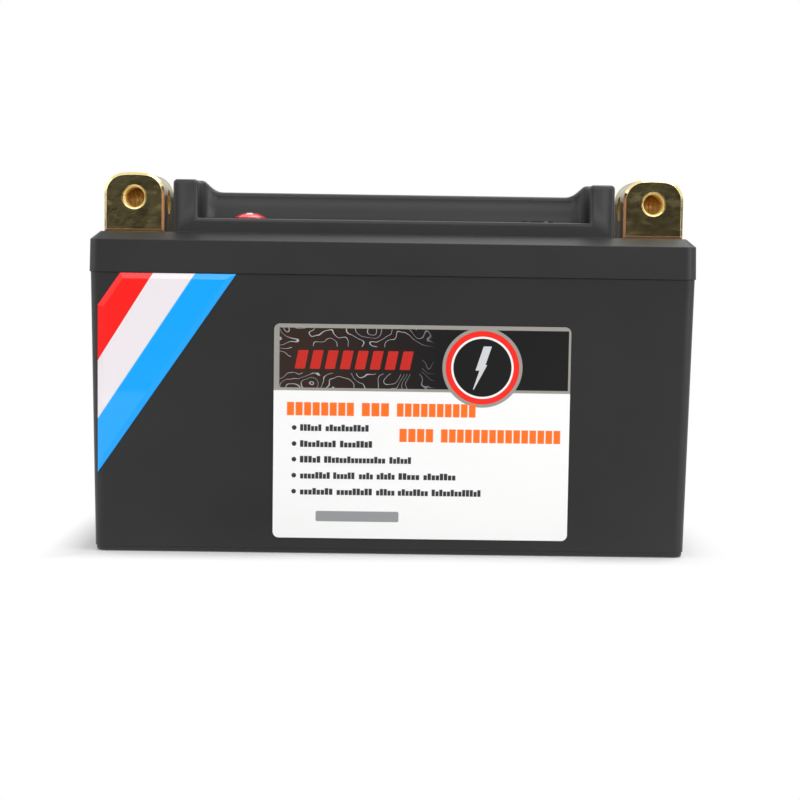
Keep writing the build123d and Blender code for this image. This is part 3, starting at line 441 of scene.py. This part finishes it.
# a field of fine contour lines on the left half of the band, clear of the charge gauge
CONTOUR_LEVELS = (0.36, 0.45, 0.54, 0.63)
contour = label.noise(size=7.0, detail=1.5, roughness=0.4)
contours = together([abs(contour - level).below(0.0035, soft=0.002)
                     for level in CONTOUR_LEVELS])
contours = contours * band * across.below(37.0, soft=3.0)
contours = contours * (1 - panel(4.2, 36.6, 41.2, 47.8, corner=1.0))
print_colour = label.paint(print_colour, INK_PALE, contours * 0.7)

# a row of slanted red bars, like a charge gauge
CHARGE_BARS = 8
FIRST_BAR, BAR_STEP, BAR_WIDTH = 5.6, 3.7, 2.5
bar_lefts = [FIRST_BAR + BAR_STEP * number for number in range(CHARGE_BARS)]
charge = together([panel(left, left + BAR_WIDTH, 42.2, 46.8, lean=0.2) for left in bar_lefts])
print_colour = label.paint(print_colour, INK_DEEP_RED, charge)

# a round badge over the right half of the band, with a spark made of two slanted wedges
BADGE, BADGE_HEIGHT = 51.5, 43.0
BADGE_RINGS = ((9.9, INK_GREY), (9.1, INK_RED), (7.7, WHITE), (7.2, INK_BLACK))
for ring_radius, ink in BADGE_RINGS:
    print_colour = label.paint(print_colour, ink, disc(BADGE, BADGE_HEIGHT, ring_radius))
beside, over = across - BADGE, up - BADGE_HEIGHT
slant = beside * 1.75 - over * 0.57
steep = beside * 2.0 - over * 1.05
upper_wedge = slant.above(-2.6) * slant.below(0.9) * over.above(-0.7) * over.below(5.3)
lower_wedge = slant.above(-0.9) * steep.below(1.6) * over.above(-5.4) * over.below(0.7)
print_colour = label.paint(print_colour, INK_PALE, upper_wedge.most(lower_wedge))

# two orange titles, each given by its words' left and right ends and its foot
TITLE_HEIGHT, TITLE_PITCH = 3.3, 2.05
titles = ((30.6, ((3.15, 20.05), (21.65, 28.75), (30.35, 50.15))),
          (24.3, ((31.05, 39.75), (41.35, 71.25))))
titles = together([text_row(words, foot, TITLE_HEIGHT, TITLE_PITCH) for foot, words in titles])
print_colour = label.paint(print_colour, INK_ORANGE, titles)

# five lines of small text, each with a bullet
TEXT_HEIGHT, TEXT_PITCH, LOW_LETTER = 1.65, 0.98, 0.74
BULLET, BULLET_LIFT, BULLET_RADIUS = 5.15, 0.8, 0.58
lines = ((26.75, ((6.55, 11.95), (12.85, 23.65))),
         (22.75, ((6.55, 15.55), (16.45, 24.55))),
         (18.85, ((6.55, 11.75), (12.55, 27.85), (28.75, 34.25))),
         (14.85, ((6.65, 14.15), (14.85, 20.25), (21.25, 24.85), (25.65, 30.25),
                  (31.05, 36.35), (37.25, 45.35))),
         (10.85, ((6.65, 14.85), (15.75, 24.65), (25.55, 30.25), (30.95, 38.55),
                  (39.35, 51.65))))
text = [text_row(words, foot, TEXT_HEIGHT, TEXT_PITCH, LOW_LETTER) for foot, words in lines]
bullets = [disc(BULLET, foot + BULLET_LIFT, BULLET_RADIUS) for foot, _ in lines]
print_colour = label.paint(print_colour, INK_DARK, together(text + bullets))

# a plain grey bar
grey_bar = panel(10.65, 31.25, 4.2, 6.8, corner=0.4)
print_colour = label.paint(print_colour, INK_STEEL, grey_bar)
label.wear(Base_Color=print_colour)
label.bump(label.noise(size=0.8, detail=2.0), distance=0.003)
label.apply("front_label")


# Corner sticker. Three diagonal stripes are printed on film, and clear polyurethane is poured
# over them, which gives the high gloss and the sloping rim.
STRIPE_RED = (0.96, 0.010, 0.008)
STRIPE_WHITE = (0.84, 0.79, 0.82)
STRIPE_BLUE = (0.0, 0.38, 1.0)
RED_TO_WHITE = ((-59.1, 69.0), (-72.3, 47.9))     # two places on the line between them
WHITE_TO_BLUE = ((-49.3, 68.3), (-72.3, 33.5))

domed = Finish("domed sticker", Roughness=0.35, Specular_IOR_Level=0.3, Coat_Weight=0.6,
               Coat_Roughness=0.03)


def right_of(finish, line):
    """Mask of what lies to the right of a slanted line through two places."""
    (x_top, z_top), (x_low, z_low) = line
    run = (x_top - x_low) / (z_top - z_low)
    return (finish.x - finish.z * run).above(x_top - z_top * run, soft=0.06)


stripes = domed.paint(STRIPE_RED, STRIPE_WHITE, right_of(domed, RED_TO_WHITE))
stripes = domed.paint(stripes, STRIPE_BLUE, right_of(domed, WHITE_TO_BLUE))
domed.wear(Base_Color=stripes)
domed.bump(domed.noise(size=9.0, detail=1.0), distance=0.05, rounding=0.2)
domed.apply("corner_sticker")


# Studio. A white table that ends short of the camera, a wide soft light over the camera, one
# overhead and one at each side, and a dim room in front, which the gilt faces mirror. In
# reflections only, the table in front of the part's middle is darkened by a painted shadow.
TABLE_FRONT = -0.40
TABLE_BACK = 6.0
TABLE_SIDE = 6.0
PAPER = (0.72, 0.72, 0.72)
LIGHT = (1.0, 1.0, 1.0)
PART_LENGTH_HALF, PART_DEPTH_HALF = 75, 33
GLOW_BESIDE = 0.10       # share of glow in what is seen of the table close to the part

table_length = (TABLE_BACK - TABLE_FRONT) / 2
table_middle = (TABLE_BACK + TABLE_FRONT) / 2
floor_shape = bmesh.new()
bmesh.ops.create_grid(floor_shape, x_segments=1, y_segments=1, size=1.0)
bmesh.ops.scale(floor_shape, vec=(TABLE_SIDE, table_length, 1), verts=floor_shape.verts)
bmesh.ops.translate(floor_shape, vec=(0, table_middle, 0), verts=floor_shape.verts)
floor_mesh = bpy.data.meshes.new("floor")
floor_shape.to_mesh(floor_mesh)
floor_shape.free()
floor = bpy.data.objects.new("floor", floor_mesh)
bpy.context.scene.collection.objects.link(floor)

paper = Finish("white paper", Base_Color=PAPER, Roughness=0.9, Specular_IOR_Level=0.0)
seen = paper.node("LightPath", output="Is Camera Ray")
mirrored = paper.node("LightPath", output="Is Glossy Ray")
through = paper.node("LightPath", output="Is Transmission Ray")
outside = (abs(paper.x) - PART_LENGTH_HALF).most(abs(paper.y) - PART_DEPTH_HALF)
clear = outside.above(6.0, soft=5.0)
# painted shadow: in reflections only, the table in front of the part's middle is darkened to a
# quarter of its glow
painted_shadow_in_front = paper.y.below(-40.0, soft=30.0) * abs(paper.x).below(PART_LENGTH_HALF, soft=45.0)
glow = paper.node("Emission", {"Color": LIGHT, "Strength": 1.0})
dark = paper.node("Emission", {"Color": LIGHT, "Strength": 0.0})
plain = paper.node("MixShader", {0: seen * (GLOW_BESIDE + (1 - GLOW_BESIDE) * clear),
                                 1: Value(paper, paper.shader.outputs[0]), 2: glow})
# the table as surfaces mirror it: glow, darkened by the painted shadow in front of the part's
# middle
gleam = paper.node("MixShader", {0: 1 - 0.75 * painted_shadow_in_front, 1: dark, 2: glow})
shown = paper.node("MixShader", {0: mirrored.most(through), 1: plain, 2: gleam})
paper.links.new(shown.socket, paper.nodes["Material Output"].inputs["Surface"])
floor_mesh.materials.append(paper.material)


def lamp(name, place, target, width, height, power):
    data = bpy.data.lights.new(name, "AREA")
    data.shape = "RECTANGLE"
    data.size, data.size_y, data.energy = width, height, power
    made = bpy.data.objects.new(name, data)
    made.location = place
    made.rotation_euler = (Vector(target) - Vector(place)).to_track_quat("-Z", "Y").to_euler()
    bpy.context.scene.collection.objects.link(made)


UPPER_BODY = (0.0, 0.0, 0.05)
LOWER_BODY = (0.0, 0.0, 0.04)
lamp("over the camera", (0.12, -0.65, 0.40), UPPER_BODY, width=0.9, height=0.3, power=1.1)
lamp("overhead", (0.28, 0.15, 0.85), UPPER_BODY, width=0.9, height=0.6, power=4.2)
lamp("left side", (-0.8, -0.1, 0.35), LOWER_BODY, width=0.4, height=0.6, power=0.7)
lamp("right side", (0.7, -0.4, 0.30), LOWER_BODY, width=0.4, height=0.5, power=1.5)


class Room(Finish):
    """The world, built with the same nodes: its brightness follows the direction."""

    def __init__(self, world):
        self.nodes = world.node_tree.nodes
        self.links = world.node_tree.links
        self.place = self.node("TexCoord", output="Generated")
        self.x, self.y, self.z = self.split(self.place)


LOW_WALL = 0.15          # brightness near the horizon
FRONT_DARK = 0.012
FRONT_PATCH = 0.15

world = bpy.data.worlds.new("studio")
bpy.context.scene.world = world
world.use_nodes = True
room = Room(world)
front = room.y.below(-0.62, soft=0.30) * room.z.below(0.18, soft=0.05)
around = LOW_WALL + (1 - LOW_WALL) * room.z.above(0.12, soft=0.10)
patches = room.noise(size=0.22, detail=3.0, place=room.stretched(2.0, 1.0, 12.0))
patches = patches.above(0.54, soft=0.10)
brightness = around * (1 - front) + (FRONT_DARK + FRONT_PATCH * patches) * front
direct = room.node("LightPath", output="Is Camera Ray")
room.set(world.node_tree.nodes["Background"],
         {"Color": LIGHT, "Strength": brightness * (1 - direct) + direct})

CAMERA_PLACE = (0.00045, -0.4925, 0.0736)
CAMERA_TURN = -0.53      # degrees
CAMERA_DOWN = 4.2
CAMERA_ROLL = 0.827

camera_data = bpy.data.cameras.new("camera")
camera_data.sensor_width = 36.0
camera_data.lens = 84.06
camera_data.shift_x = -0.0133
camera_data.shift_y = -0.005
camera = bpy.data.objects.new("camera", camera_data)
bpy.context.scene.collection.objects.link(camera)
camera.matrix_world = (Matrix.Translation(CAMERA_PLACE)
                       @ Matrix.Rotation(radians(CAMERA_TURN), 4, "Z")
                       @ Matrix.Rotation(radians(90.0 - CAMERA_DOWN), 4, "X")
                       @ Matrix.Rotation(radians(CAMERA_ROLL), 4, "Z"))
bpy.context.scene.camera = camera
bpy.context.scene.view_settings.view_transform = "Standard"
